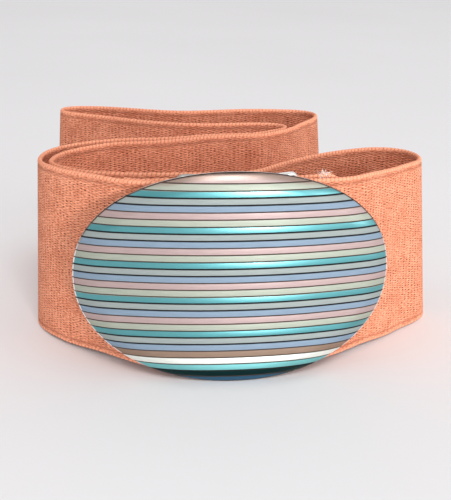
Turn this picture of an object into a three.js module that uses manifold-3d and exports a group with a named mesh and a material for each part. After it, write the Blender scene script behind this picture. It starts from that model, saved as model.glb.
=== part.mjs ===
// Wide stretch belt, folded up and standing on the lower edge of its elastic.
// A striped oval plate faces the front (-Y). Behind it two narrow wire loops
// hold the folded-back ends of one long elastic band.
// Millimetres, +Z up, +X to the viewer's right. Angles in the tables are degrees.

import * as THREE from 'three';
import { mergeVertices } from 'three/addons/utils/BufferGeometryUtils.js';
import Module from 'manifold-3d';

const wasm = await Module();
wasm.setup();

// Elastic band
const BAND_WIDTH = 50;
const BAND_THICK = 1.3;
const SELVAGE_ROUND = 0.3;
const END_TAIL = 13;
const TAIL_SLACK = 1.7;
const HOOKED_TAIL_RISE = 1.2;
const FOLD_LENGTH = 120;
const FOLD_DEPTH = 110;

// Oval plate, bowed to the waist, its rim rolled back
const PLATE_WIDTH = 83;
const PLATE_HEIGHT = 55.4;
const PLATE_THICK = 1;
const PLATE_BOW_RADIUS = 117;
const PLATE_SQUARENESS = 2.12;
const RIM_ROLL = 1.3;
const RIM_ROLL_START = 0.84;
const PLATE_TURN = 7.6;
const PLATE_LEAN = 5.4;
const PLATE_OFFSET = 3.3;
const PLATE_FORWARD = 1.1;

// Wire loops, frame pad and hook behind the plate
const WIRE = 1.5;
const WIRE_ROUND = 0.4;
const LOOP_CORNER = 2;
const BAND_ROOM = 0.3;
const FIXED_BAR_AT = -14.6;
const FIXED_LOOP_SPAN = 4.8;
const FIXED_LOOP_DROP = 0.3;
const HOOKED_BAR_AT = 9.8;
const HOOKED_LOOP_SPAN = 6.2;
const HOOKED_LOOP_TURN = 28;
const PAD_THICK = 1.2;
const PAD_HEIGHT = 34;
const LUG_HEIGHT = 9;
const HOOK_THICK = 1.1;
const HOOK_HEIGHT = 14;
const FIT = 0.3;

// Drawing fineness
const MAX_STEP = 6;
const MAX_TURN = 10;
const TURN_PER_REACH = 1500;
const WRAP_STEPS = 8;
const PLATE_RINGS = [0, 0.3, 0.6, 0.84, 0.9, 0.95, 0.985, 1];
const PLATE_SIDES = 64;
const CORNER_SIDES = 5;

// The band's route along its top edge, from the fixed bar to the hooked bar.
// x: share of FOLD_LENGTH from the belt's middle, to the right
// y: share of FOLD_DEPTH from the line that the plate stands ahead of, to the back
// heading: travel direction, 0 to the right, 90 to the back
// flare: how far the bottom edge stands to the left of travel, share of BAND_WIDTH
// lift: share of the height at which the nearer bar holds the band off the ground
const ROUTE = [
  { run: 'front_left_inner', x: -0.258, y: 0.085, heading: 147, flare: 0.01, lift: 0.75 },
  { run: 'front_left_outer', x: -0.375, y: 0.173, heading: 138, flare: 0.015, lift: 0.45 },
  { run: 'left_front_bend', x: -0.437, y: 0.311, heading: 92, flare: 0.045, lift: 0 },
  { run: 'outer_return_start', x: -0.379, y: 0.450, heading: 40, flare: 0.02, lift: 0 },
  { run: 'outer_return', x: -0.225, y: 0.535, heading: 9, flare: 0, lift: 0 },
  { run: 'outer_return_crossing', x: -0.075, y: 0.592, heading: 27, flare: 0, lift: 0 },
  { run: 'outer_return_shoulder', x: 0.046, y: 0.632, heading: 17, flare: 0, lift: 0 },
  { run: 'outer_return_end', x: 0.102, y: 0.668, heading: 45, flare: 0, lift: 0 },
  { run: 'hairpin', x: 0.155, y: 0.743, heading: 90, flare: 0, lift: 0 },
  { run: 'middle_start', x: 0.108, y: 0.778, heading: 178, flare: 0, lift: 0 },
  { run: 'middle_hollow', x: -0.100, y: 0.743, heading: 180, flare: 0, lift: 0 },
  { run: 'middle_slope', x: -0.317, y: 0.803, heading: 157, flare: 0, lift: 0 },
  { run: 'middle_end', x: -0.417, y: 0.845, heading: 160, flare: 0.02, lift: 0 },
  { run: 'left_back_bend', x: -0.485, y: 0.909, heading: 90, flare: 0.06, lift: 0 },
  { run: 'back_start', x: -0.392, y: 0.960, heading: 1, flare: 0.02, lift: 0 },
  { run: 'back_dip', x: -0.158, y: 0.924, heading: 0, flare: 0, lift: 0 },
  { run: 'back_rise', x: 0.067, y: 0.984, heading: 8, flare: 0.03, lift: 0 },
  { run: 'back_end', x: 0.183, y: 0.990, heading: 0, flare: 0.04, lift: 0 },
  { run: 'right_back_bend', x: 0.252, y: 0.926, heading: 268, flare: 0.1, lift: 0 },
  { run: 'inner_return_start', x: 0.189, y: 0.761, heading: 246, flare: 0.02, lift: 0 },
  { run: 'inner_return_slope', x: 0.112, y: 0.650, heading: 224, flare: 0, lift: 0 },
  { run: 'inner_return_shoulder', x: 0.017, y: 0.606, heading: 192, flare: 0, lift: 0 },
  { run: 'inner_return_crossing', x: -0.100, y: 0.552, heading: 209, flare: 0, lift: 0 },
  { run: 'inner_return', x: -0.208, y: 0.498, heading: 194, flare: 0, lift: 0 },
  { run: 'inner_return_end', x: -0.325, y: 0.443, heading: 222, flare: 0, lift: 0 },
  { run: 'left_inner_bend', x: -0.408, y: 0.288, heading: 268, flare: -0.03, lift: 0 },
  { run: 'second_start', x: -0.342, y: 0.197, heading: 330, flare: 0, lift: 0 },
  { run: 'second_layer', x: -0.225, y: 0.171, heading: 0, flare: 0, lift: 0 },
  { run: 'second_end', x: -0.033, y: 0.190, heading: 2, flare: 0, lift: 0 },
  { run: 'right_loop_start', x: 0.079, y: 0.243, heading: 50, flare: 0, lift: 0 },
  { run: 'right_loop_slope', x: 0.200, y: 0.388, heading: 41, flare: 0.02, lift: 0 },
  { run: 'right_loop_shoulder', x: 0.333, y: 0.485, heading: 25, flare: 0.03, lift: 0 },
  { run: 'right_loop_top', x: 0.404, y: 0.497, heading: 350, flare: 0.05, lift: 0 },
  { run: 'right_front_bend', x: 0.464, y: 0.414, heading: 270, flare: 0.1112, lift: 0 },
  { run: 'front_right_outer', x: 0.400, y: 0.290, heading: 229, flare: 0.05, lift: 0.25 },
  { run: 'front_right_inner', x: 0.296, y: 0.162, heading: 224, flare: 0.02, lift: 0.7 },
];

const radians = THREE.MathUtils.degToRad;
const LEAN = radians(PLATE_LEAN);
const TURN = radians(PLATE_TURN);
const toRight = new THREE.Vector2(Math.cos(TURN), Math.sin(TURN));
const toBack = new THREE.Vector2(-Math.sin(TURN), Math.cos(TURN));

// How far the bowed plate has fallen back at a distance from its middle.
function bowAt(across) {
  return PLATE_BOW_RADIUS - Math.sqrt(PLATE_BOW_RADIUS ** 2 - across ** 2);
}

const RIM_DEPTH = RIM_ROLL + PLATE_THICK;
const LOOP_OPENING = BAND_WIDTH + 2 * BAND_ROOM;
const WRAP_RADIUS = WIRE / 2 + FIT + BAND_THICK / 2;
const FIXED_BAR_DEPTH = bowAt(FIXED_BAR_AT) + RIM_DEPTH + 2 * FIT + BAND_THICK + WIRE / 2;
const HOOK_LEFT = HOOKED_BAR_AT + WIRE / 2 + FIT;
const HOOK_RIGHT = HOOK_LEFT + HOOK_THICK;
const PAD_LEFT = FIXED_BAR_AT + FIXED_LOOP_SPAN - WIRE / 2;
const PAD_FRONT = PLATE_THICK + FIT + bowAt(Math.max(-PAD_LEFT, HOOK_RIGHT));
const PAD_BACK = PAD_FRONT + PAD_THICK;
const HOOKED_BAR_DEPTH = PAD_BACK + FIT + WIRE / 2;

// The plate stands on its lowest point, which lies on the rolled rim's back edge.
const PLATE_MIDDLE = (PLATE_HEIGHT / 2) * Math.cos(LEAN) + RIM_DEPTH * Math.sin(LEAN);

function closedGeometry(positions, indices) {
  const geometry = new THREE.BufferGeometry();
  geometry.setAttribute('position', new THREE.Float32BufferAttribute(positions, 3));
  geometry.setIndex(indices);
  return geometry;
}

function toSolid(geometry) {
  const bare = geometry.clone();
  bare.deleteAttribute('normal');
  bare.deleteAttribute('uv');
  const merged = mergeVertices(bare, 1e-4);
  return new wasm.Manifold(new wasm.Mesh({
    numProp: 3,
    vertProperties: new Float32Array(merged.attributes.position.array),
    triVerts: new Uint32Array(merged.index.array),
  }));
}

function joined(geometries) {
  const solid = geometries.map(toSolid).reduce((sum, next) => sum.add(next));
  const mesh = solid.getMesh();
  return closedGeometry(Array.from(mesh.vertProperties), Array.from(mesh.triVerts));
}

// Oval plate: rings of one superellipse, pressed to a bow across and rolled
// back near the rim, with a front face and a back face one thickness apart.
function plateGeometry() {
  const positions = [];
  const indices = [];
  const power = 2 / PLATE_SQUARENESS;
  const rounded = (value) => Math.sign(value) * Math.abs(value) ** power;
  const rings = PLATE_RINGS.slice(1);

  function addPoint(share, angle, back) {
    const across = (PLATE_WIDTH / 2) * share * rounded(Math.cos(angle));
    const up = (PLATE_HEIGHT / 2) * share * rounded(Math.sin(angle));
    const rolled = Math.max(0, (share - RIM_ROLL_START) / (1 - RIM_ROLL_START));
    positions.push(across, bowAt(across) + RIM_ROLL * rolled ** 2 + back, up);
  }

  for (const back of [0, PLATE_THICK]) {
    addPoint(0, 0, back);
    for (const share of rings) {
      for (let side = 0; side < PLATE_SIDES; side += 1) {
        addPoint(share, (2 * Math.PI * side) / PLATE_SIDES, back);
      }
    }
  }

  const faceSize = 1 + rings.length * PLATE_SIDES;
  const at = (face, ring, side) => face * faceSize + 1 + ring * PLATE_SIDES + (side % PLATE_SIDES);
  const addQuad = (a, b, c, d) => indices.push(a, b, c, a, c, d);
  for (let side = 0; side < PLATE_SIDES; side += 1) {
    const next = side + 1;
    indices.push(0, at(0, 0, side), at(0, 0, next));
    indices.push(faceSize, at(1, 0, next), at(1, 0, side));
    for (let ring = 0; ring + 1 < rings.length; ring += 1) {
      addQuad(at(0, ring, side), at(0, ring + 1, side), at(0, ring + 1, next), at(0, ring, next));
      addQuad(at(1, ring, next), at(1, ring + 1, next), at(1, ring + 1, side), at(1, ring, side));
    }
    const rim = rings.length - 1;
    addQuad(at(0, rim, next), at(0, rim, side), at(1, rim, side), at(1, rim, next));
  }
  return closedGeometry(positions, indices);
}

function roundedOutline(path, left, right, bottom, top, radius) {
  path.moveTo(left + radius, bottom);
  path.lineTo(right - radius, bottom);
  path.absarc(right - radius, bottom + radius, radius, -Math.PI / 2, 0, false);
  path.lineTo(right, top - radius);
  path.absarc(right - radius, top - radius, radius, 0, Math.PI / 2, false);
  path.lineTo(left + radius, top);
  path.absarc(left + radius, top - radius, radius, Math.PI / 2, Math.PI, false);
  path.lineTo(left, bottom + radius);
  path.absarc(left + radius, bottom + radius, radius, Math.PI, 1.5 * Math.PI, false);
  return path;
}

// Narrow upright loop of round wire. Its first bar stands on the local Z axis.
function loopGeometry(span) {
  const inner = WIRE / 2 - WIRE_ROUND;
  const half = LOOP_OPENING / 2;
  const shape = roundedOutline(
    new THREE.Shape(), -inner, span + inner,
    -half - WIRE + WIRE_ROUND, half + WIRE - WIRE_ROUND, LOOP_CORNER - WIRE_ROUND,
  );
  shape.holes.push(roundedOutline(
    new THREE.Path(), inner, span - inner,
    -half - WIRE_ROUND, half + WIRE_ROUND, LOOP_CORNER - WIRE + WIRE_ROUND,
  ));
  const geometry = new THREE.ExtrudeGeometry(shape, {
    depth: WIRE - 2 * WIRE_ROUND,
    bevelThickness: WIRE_ROUND,
    bevelSize: WIRE_ROUND,
    bevelSegments: 2,
    curveSegments: CORNER_SIDES,
  });
  geometry.translate(0, 0, WIRE_ROUND - WIRE / 2);
  geometry.rotateX(Math.PI / 2);
  return geometry;
}

function block(left, right, front, back, height) {
  const geometry = new THREE.BoxGeometry(right - left, back - front, height);
  geometry.translate((left + right) / 2, (front + back) / 2, 0);
  return geometry;
}

// Frame behind the plate, brazed into one piece: a pad, the fixed loop on
// its lug, and a hook whose lip reaches through the other loop.
function frameGeometry() {
  const loop = loopGeometry(FIXED_LOOP_SPAN);
  loop.translate(FIXED_BAR_AT, FIXED_BAR_DEPTH, -FIXED_LOOP_DROP);
  const lipBack = HOOKED_BAR_DEPTH + WIRE / 2 + FIT;
  return joined([
    loop,
    block(PAD_LEFT, HOOK_RIGHT, PAD_FRONT, PAD_BACK, PAD_HEIGHT),
    block(PAD_LEFT + WIRE / 3, PAD_LEFT + WIRE, PAD_FRONT, FIXED_BAR_DEPTH, LUG_HEIGHT),
    block(HOOK_LEFT, HOOK_RIGHT, PAD_FRONT, lipBack + HOOK_THICK, HOOK_HEIGHT),
    block(HOOKED_BAR_AT - WIRE / 2, HOOK_RIGHT, lipBack, lipBack + HOOK_THICK, HOOK_HEIGHT),
  ]);
}

function unit(degrees) {
  return new THREE.Vector2(Math.cos(radians(degrees)), Math.sin(radians(degrees)));
}

function leftOf(direction) {
  return new THREE.Vector2(-direction.y, direction.x);
}

// One sampled stretch of the route between two stations. A station has a
// place, a travel direction, the bottom edge's offset and a lift. Slack over
// one keeps the strip longer in its two end directions.
function stretch(from, to, slack = 1) {
  const length = from.place.distanceTo(to.place);
  const turned = THREE.MathUtils.radToDeg(Math.abs(from.direction.angleTo(to.direction)));
  const reach = length * slack * (1 / 3 + turned / TURN_PER_REACH);
  const curve = new THREE.CubicBezierCurve(
    from.place,
    from.place.clone().addScaledVector(from.direction, reach),
    to.place.clone().addScaledVector(to.direction, -reach),
    to.place,
  );
  const steps = Math.max(2, Math.ceil(length / MAX_STEP), Math.ceil(turned / MAX_TURN));
  const samples = [];
  for (let step = 0; step <= steps; step += 1) {
    const share = step / steps;
    const eased = THREE.MathUtils.smoothstep(share, 0, 1);
    samples.push({
      place: curve.getPoint(share),
      direction: curve.getTangent(share),
      offset: from.offset.clone().lerp(to.offset, eased),
      lift: THREE.MathUtils.lerp(from.lift, to.lift, eased),
    });
  }
  return samples;
}

// Where an upright bar of the leaning buckle crosses the band's top edge.
function barStation(across, depth, drop) {
  const middle = PLATE_MIDDLE - depth * Math.sin(LEAN) - drop * Math.cos(LEAN);
  const rise = BAND_WIDTH / 2 / Math.cos(LEAN) - drop;
  const back = depth * Math.cos(LEAN) + rise * Math.sin(LEAN);
  return {
    place: new THREE.Vector2(PLATE_OFFSET, -PLATE_FORWARD)
      .addScaledVector(toRight, across)
      .addScaledVector(toBack, back),
    offset: toBack.clone().multiplyScalar(-BAND_WIDTH * Math.tan(LEAN)),
    lift: middle - BAND_WIDTH / 2,
  };
}

// A band end in the order row, bar, tail: it passes in front of the bar,
// turns round it, and lies back against itself over the tail's length. The
// tail was sewn down a little askew and rises towards its end.
function endFold(row, bar, frontSide, rise) {
  const away = row.place.clone().sub(bar.place).normalize();
  const front = leftOf(away).multiplyScalar(frontSide);
  const around = (angle) => ({
    ...bar,
    place: bar.place.clone()
      .addScaledVector(front, WRAP_RADIUS * Math.cos(angle))
      .addScaledVector(away, -WRAP_RADIUS * Math.sin(angle)),
    direction: front.clone().multiplyScalar(-Math.sin(angle))
      .addScaledVector(away, -Math.cos(angle)),
  });
  const approach = stretch(row, around(0));
  const wrap = [];
  for (let step = 1; step < WRAP_STEPS; step += 1) {
    wrap.push(around((Math.PI * step) / WRAP_STEPS));
  }

  const passed = approach.findLast((sample) => (
    sample.place.distanceTo(approach.at(-1).place) >= END_TAIL
  ));
  const inward = leftOf(passed.direction).multiplyScalar(frontSide);
  const tailEnd = {
    ...passed,
    place: passed.place.clone().addScaledVector(inward, BAND_THICK + FIT),
    direction: passed.direction.clone().negate(),
    lift: passed.lift + rise,
  };
  return [...approach, ...wrap, ...stretch(around(Math.PI), tailEnd, TAIL_SLACK)];
}

function routeStation(row, barLift) {
  const direction = unit(row.heading);
  return {
    place: new THREE.Vector2(row.x * FOLD_LENGTH, row.y * FOLD_DEPTH),
    direction,
    offset: leftOf(direction).multiplyScalar(row.flare * BAND_WIDTH),
    lift: row.lift * barLift,
  };
}

// The whole route: fixed end, the table's runs and bends, hooked end.
function bandSamples() {
  const hookedTurn = radians(HOOKED_LOOP_TURN);
  const fixedBar = barStation(FIXED_BAR_AT, FIXED_BAR_DEPTH, FIXED_LOOP_DROP);
  const hookedBar = barStation(
    HOOKED_BAR_AT + HOOKED_LOOP_SPAN * Math.cos(hookedTurn),
    HOOKED_BAR_DEPTH + HOOKED_LOOP_SPAN * Math.sin(hookedTurn),
    0,
  );
  const half = ROUTE.length / 2;
  const stations = ROUTE.map((row, index) => (
    routeStation(row, index < half ? fixedBar.lift : hookedBar.lift)
  ));

  const firstAway = { ...stations[0], direction: stations[0].direction.clone().negate() };
  const samples = endFold(firstAway, fixedBar, 1, 0).reverse();
  for (let index = 0; index + 1 < stations.length; index += 1) {
    samples.push(...stretch(stations[index], stations[index + 1]).slice(1));
  }
  samples.push(...endFold(stations.at(-1), hookedBar, -1, HOOKED_TAIL_RISE).slice(1));
  return samples;
}

// Unit normals to the left of a polyline's travel, one for each point.
function leftNormals(points) {
  return points.map((point, index) => {
    const before = points[Math.max(index - 1, 0)];
    const after = points[Math.min(index + 1, points.length - 1)];
    return leftOf(after.clone().sub(before).normalize());
  });
}

// Closed strip swept along the route. Each section is an upright slat with
// rounded selvages, whose lower edge may stand out from its upper edge.
function bandGeometry() {
  const samples = bandSamples();
  const tops = samples.map((sample) => sample.place);
  const bottoms = samples.map((sample) => sample.place.clone().add(sample.offset));
  const topNormals = leftNormals(tops);
  const bottomNormals = leftNormals(bottoms);
  const slim = BAND_THICK / 2 - SELVAGE_ROUND;
  const wide = BAND_THICK / 2;
  const section = [
    { side: -slim, height: 0 },
    { side: slim, height: 0 },
    { side: wide, height: SELVAGE_ROUND },
    { side: wide, height: BAND_WIDTH - SELVAGE_ROUND },
    { side: slim, height: BAND_WIDTH },
    { side: -slim, height: BAND_WIDTH },
    { side: -wide, height: BAND_WIDTH - SELVAGE_ROUND },
    { side: -wide, height: SELVAGE_ROUND },
  ];

  const positions = [];
  samples.forEach((sample, index) => {
    for (const { side, height } of section) {
      const share = height / BAND_WIDTH;
      const point = bottoms[index].clone().lerp(tops[index], share);
      const normal = bottomNormals[index].clone().lerp(topNormals[index], share);
      point.addScaledVector(normal, side);
      positions.push(point.x, point.y, sample.lift + height);
    }
  });

  const indices = [];
  const corners = section.length;
  for (let index = 0; index + 1 < samples.length; index += 1) {
    for (let corner = 0; corner < corners; corner += 1) {
      const near = index * corners + corner;
      const nearNext = index * corners + ((corner + 1) % corners);
      indices.push(near, nearNext, nearNext + corners, near, nearNext + corners, near + corners);
    }
  }
  const last = (samples.length - 1) * corners;
  for (let corner = 1; corner + 1 < corners; corner += 1) {
    indices.push(0, corner + 1, corner);
    indices.push(last, last + corner, last + corner + 1);
  }
  return closedGeometry(positions, indices);
}

function piece(name, geometry, color, roughness, metalness) {
  const mesh = new THREE.Mesh(
    geometry,
    new THREE.MeshStandardMaterial({ color, roughness, metalness }),
  );
  mesh.name = name;
  return mesh;
}

const buckle = new THREE.Group();
buckle.rotation.order = 'ZXY';
buckle.rotation.set(-LEAN, 0, TURN);
buckle.position.set(PLATE_OFFSET, -PLATE_FORWARD, PLATE_MIDDLE);
buckle.add(piece('buckle_plate', plateGeometry(), 0x8fb9c2, 0.28, 0.85));
buckle.add(piece('buckle_frame', frameGeometry(), 0xb9b7b2, 0.35, 1));

const endLoop = piece('end_loop', loopGeometry(HOOKED_LOOP_SPAN), 0xc4c2be, 0.25, 1);
endLoop.position.set(HOOKED_BAR_AT, HOOKED_BAR_DEPTH, 0);
endLoop.rotation.z = radians(HOOKED_LOOP_TURN);
buckle.add(endLoop);

const folded = new THREE.Group();
folded.add(buckle);
folded.add(piece('elastic_band', bandGeometry(), 0xe2916f, 0.9, 0));

// The belt's middle, on the ground, is the origin.
const belt = new THREE.Group();
belt.add(folded);
belt.updateMatrixWorld(true);
const middle = new THREE.Box3().setFromObject(belt, true).getCenter(new THREE.Vector3());
folded.position.set(-middle.x, -middle.y, 0);

export default belt;
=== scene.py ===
"""Looks of a wide stretch belt that stands folded behind its striped oval plate.

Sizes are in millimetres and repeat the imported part's own driving sizes. Meshes
are written in metres, in the part's frame: +X to the right, -Y to the front.
"""

import enum
import logging
import math
from dataclasses import dataclass, field

import bpy
import numpy as np
from mathutils import Matrix, Vector


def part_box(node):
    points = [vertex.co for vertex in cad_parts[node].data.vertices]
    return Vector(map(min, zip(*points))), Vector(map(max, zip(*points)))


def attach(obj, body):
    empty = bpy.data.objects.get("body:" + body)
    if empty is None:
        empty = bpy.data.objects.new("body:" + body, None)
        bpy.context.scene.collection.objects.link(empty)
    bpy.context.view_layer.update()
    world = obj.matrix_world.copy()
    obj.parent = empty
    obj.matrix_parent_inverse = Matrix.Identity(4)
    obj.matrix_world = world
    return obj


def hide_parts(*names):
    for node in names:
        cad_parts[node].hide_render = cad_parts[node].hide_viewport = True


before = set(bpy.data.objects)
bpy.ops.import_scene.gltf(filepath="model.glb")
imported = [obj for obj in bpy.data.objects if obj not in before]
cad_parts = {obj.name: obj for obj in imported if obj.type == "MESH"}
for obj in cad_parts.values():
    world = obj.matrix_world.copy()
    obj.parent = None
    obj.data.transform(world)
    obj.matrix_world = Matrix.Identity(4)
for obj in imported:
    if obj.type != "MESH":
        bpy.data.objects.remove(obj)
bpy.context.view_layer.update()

LOG = logging.getLogger("stretch_belt")
LENGTHS = "lengths"
MM = 0.001
SEED = 11
FINE_STEP = 0.25
FULL_TURN = 2.0 * math.pi
QUARTER_TURN = math.pi / 2.0
OFF_AXIS = np.array([0.31, 0.83, 0.46])

Array = np.ndarray
Colour = tuple[float, float, float, float]
Triple = tuple[float, float, float]
Span = tuple[float, float]
Material = bpy.types.Material
Node = bpy.types.Node
Piece = bpy.types.Object
Socket = bpy.types.NodeSocket
Sockets = bpy.types.bpy_prop_collection
Tree = bpy.types.NodeTree


class Slot(enum.Enum):
    """Material slots that the part's record names."""

    ELASTIC = "elastic"
    PLATE = "plate"
    HARDWARE = "hardware"


class Edge(enum.Enum):
    """The band's two long edges."""

    TOP = "top"
    BOTTOM = "bottom"


# Geometry helpers


def smoothstep(share: Array) -> Array:
    """Ease a share from 0 to 1 by 3t^2 - 2t^3."""
    held = np.clip(share, 0.0, 1.0)
    return held * held * (3.0 - 2.0 * held)


def unit(degrees: float) -> Array:
    """Give the plan direction at an angle from +X."""
    return np.array([math.cos(math.radians(degrees)), math.sin(math.radians(degrees))])


def unit_rows(vectors: Array) -> Array:
    """Scale the vectors along the last axis to length 1."""
    return vectors / np.linalg.norm(vectors, axis=-1, keepdims=True)


def left_of(directions: Array) -> Array:
    """Turn plan directions a quarter turn to the left."""
    return np.stack([-directions[..., 1], directions[..., 0]], axis=-1)


def ring_angles(count: int) -> Array:
    """Give evenly spaced angles round a full turn."""
    return np.linspace(0.0, FULL_TURN, count, endpoint=False)


def length_pairs(along: Array, across: Array) -> Array:
    """Pair every length along with every length across, row by row."""
    return np.stack(np.broadcast_arrays(along[:, None], across[None, :]), axis=-1).reshape(-1, 2)


def grid_quads(rows: int, columns: int, closed: bool = False) -> Array:
    """Index the quads of a grid whose points are stored row by row.

    Args:
        rows: Number of rows of points.
        columns: Number of points in a row.
        closed: Whether each row's last point joins its first.

    Returns:
        An array of four point indices for each quad.
    """
    across = np.arange(columns if closed else columns - 1)
    row, column = np.meshgrid(np.arange(rows - 1), across, indexing="ij")
    here, after = row * columns, (column + 1) % columns
    corners = [here + column, here + after, here + columns + after, here + columns + column]
    return np.stack(corners, axis=-1).reshape(-1, 4)


def tube_quads(rings: int, around: int) -> Array:
    """Index the quads of a tube and of its two end caps.

    A cap's quad joins two neighbouring points of one half of the end ring to
    the points opposite them.

    Args:
        rings: Number of rings.
        around: Even number of points in a ring.

    Returns:
        Four point indices for each quad.
    """
    pairs = np.arange(around // 2 - 1)
    cap = np.stack([pairs, around - 1 - pairs, around - 2 - pairs, pairs + 1], axis=1)
    far_cap = (cap + (rings - 1) * around)[:, ::-1]
    return np.concatenate([grid_quads(rings, around, closed=True), cap, far_cap])


@dataclass
class Shell:
    """Closed surface in millimetres, ready to be written as a mesh.

    Attributes:
        points: Corner places, with the coordinates on the last axis.
        quads: Four point indices for each face.
        uv: Real lengths along and across the surface, one row per point.
        traits: Named values that the finish reads, one per point.
    """

    points: Array
    quads: Array
    uv: Array
    traits: dict[str, Array] = field(default_factory=dict)

    def __post_init__(self) -> None:
        """Store the places one row each, and turn the faces outwards.

        The enclosed volume is a sixth of the sum of the triple products of
        each face's corners, with a quad taken as two triangles. Every face is
        turned round where it comes out negative.
        """
        self.points = self.points.reshape(-1, 3)
        a, b, c, d = (self.points[self.quads[:, corner]] for corner in range(4))
        triples = np.einsum("ij,ij->i", a, np.cross(b, c) + np.cross(c, d))
        if triples.sum() < 0.0:
            self.quads = self.quads[:, ::-1]

    @staticmethod
    def merged(shells: list["Shell"]) -> "Shell":
        """Put several shells without traits into one.

        Args:
            shells: The shells to join.

        Returns:
            One shell with all the points and faces.
        """
        starts = np.cumsum([0] + [len(shell.points) for shell in shells[:-1]])
        return Shell(
            np.concatenate([shell.points for shell in shells]),
            np.concatenate([shell.quads + at for shell, at in zip(shells, starts)]),
            np.concatenate([shell.uv for shell in shells]),
        )


def write_object(name: str, shell: Shell, material: Material) -> Piece:
    """Write a shell as a smooth-shaded object at the origin.

    Args:
        name: The object's name.
        shell: Points in millimetres, faces, lengths and traits.
        material: Finish of the whole piece.

    Returns:
        The linked object.
    """
    mesh = bpy.data.meshes.new(name)
    mesh.from_pydata((shell.points * MM).tolist(), [], shell.quads.tolist())
    corner_points = np.empty(len(mesh.loops), dtype=np.int32)
    mesh.loops.foreach_get("vertex_index", corner_points)
    layer = mesh.uv_layers.new(name=LENGTHS)
    layer.data.foreach_set("uv", shell.uv[corner_points].astype(np.float32).ravel())
    for trait, values in shell.traits.items():
        attribute = mesh.attributes.new(trait, "FLOAT", "POINT")
        attribute.data.foreach_set("value", values.astype(np.float32))
    mesh.polygons.foreach_set("use_smooth", np.ones(len(mesh.polygons), dtype=bool))
    mesh.validate()
    mesh.materials.append(material)
    piece = bpy.data.objects.new(name, mesh)
    bpy.context.collection.objects.link(piece)
    return piece


def strands(centres: Array, radii: Array, sides: int = 6) -> Shell:
    """Carry a round section along many short strands at once.

    A strand's section stands square to its slope: radius times the cosine of
    the angle on one normal and the sine on the other.

    Args:
        centres: Places in the shape strand, step, coordinate.
        radii: Radius at each step.
        sides: Even number of points round a strand.

    Returns:
        One shell with every strand closed at both ends.
    """
    count, steps = centres.shape[:2]
    slope = unit_rows(np.gradient(centres, axis=1))
    first = unit_rows(np.cross(slope, OFF_AXIS))
    second = np.cross(slope, first)
    angles = ring_angles(sides)[:, None]
    ring = np.cos(angles) * first[:, :, None] + np.sin(angles) * second[:, :, None]
    points = centres[:, :, None] + radii[None, :, None, None] * ring
    starts = np.arange(count)[:, None, None] * steps * sides
    along = np.linalg.norm(centres - centres[:, :1], axis=2)[:, :, None] + centres[:, :1, :1]
    uv = np.stack(np.broadcast_arrays(along, angles[None, None, :, 0]), axis=-1)
    quads = tube_quads(steps, sides)[None] + starts
    return Shell(points, quads.reshape(-1, 4), uv.reshape(-1, 2))


def curve_at(handles: Array, shares: Array) -> Array:
    """Sample a curve by straight blends between its handles, done over and over.

    Args:
        handles: The curve's control points, one row each.
        shares: Curve parameters from 0 to 1, one row each.

    Returns:
        One place for each share.
    """
    rows = handles[:, None]
    while len(rows) > 1:
        rows = rows[:-1] * (1.0 - shares) + rows[1:] * shares
    return rows[0]


def run_lengths(points: Array) -> Array:
    """Give the length along a polyline at each of its points."""
    return np.concatenate([[0.0], np.cumsum(np.linalg.norm(np.diff(points, axis=0), axis=1))])


def normals_along(points: Array) -> Array:
    """Give unit normals to the left of a polyline's travel."""
    return left_of(unit_rows(np.gradient(points, axis=0)))


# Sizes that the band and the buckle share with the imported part


@dataclass(frozen=True)
class PlateForm:
    """Sizes and stand of the oval plate."""

    width: float = 83.0
    height: float = 55.4
    thick: float = 1.0
    bow_radius: float = 117.0
    squareness: float = 2.12
    rim_roll: float = 1.3
    rim_roll_start: float = 0.84
    turn: float = 7.6
    lean: float = 5.4
    offset: float = 3.3
    forward: float = 1.1

    def bow_at(self, across: Array) -> Array:
        """Tell how far the bowed plate has fallen back beside its middle."""
        return self.bow_radius - np.sqrt(self.bow_radius**2 - across**2)

    @property
    def rim_depth(self) -> float:
        """Depth from the face's middle to the back of the rolled rim."""
        return self.rim_roll + self.thick

    @property
    def middle_height(self) -> float:
        """Height of the plate's middle when its rolled rim stands on the ground."""
        lean = math.radians(self.lean)
        return self.height / 2.0 * math.cos(lean) + self.rim_depth * math.sin(lean)

    def placed(self, points: Array, shift: Array) -> Array:
        """Lean the buckle's own points back, turn them and set them on the ground.

        Args:
            points: Places in the buckle's own frame.
            shift: Plan shift to the part's frame.

        Returns:
            The same places in the part's frame.
        """
        lean = Matrix.Rotation(math.radians(-self.lean), 3, "X")
        stand = np.array(Matrix.Rotation(math.radians(self.turn), 3, "Z") @ lean)
        moved = [self.offset + shift[0], shift[1] - self.forward, self.middle_height]
        return points @ stand.T + moved


@dataclass(frozen=True)
class WireForm:
    """Sizes of the loops, the pad and the hook behind the plate."""

    wire: float = 1.5
    corner: float = 2.0
    band_room: float = 0.3
    fixed_bar_at: float = -14.6
    fixed_span: float = 4.8
    fixed_drop: float = 0.3
    hooked_bar_at: float = 9.8
    hooked_span: float = 6.2
    hooked_turn: float = 28.0
    pad_thick: float = 1.2
    pad_height: float = 34.0
    lug_height: float = 9.0
    hook_thick: float = 1.1
    hook_height: float = 14.0
    fit: float = 0.3


@dataclass(frozen=True)
class BandForm:
    """Sizes of the elastic band and of the space that it is folded into."""

    width: float = 50.0
    thick: float = 1.3
    end_tail: float = 13.0
    tail_slack: float = 1.7
    hooked_tail_rise: float = 1.2
    tail_droop: float = 2.2
    droop_length: float = 5.5
    fold_length: float = 120.0
    fold_depth: float = 110.0


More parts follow.
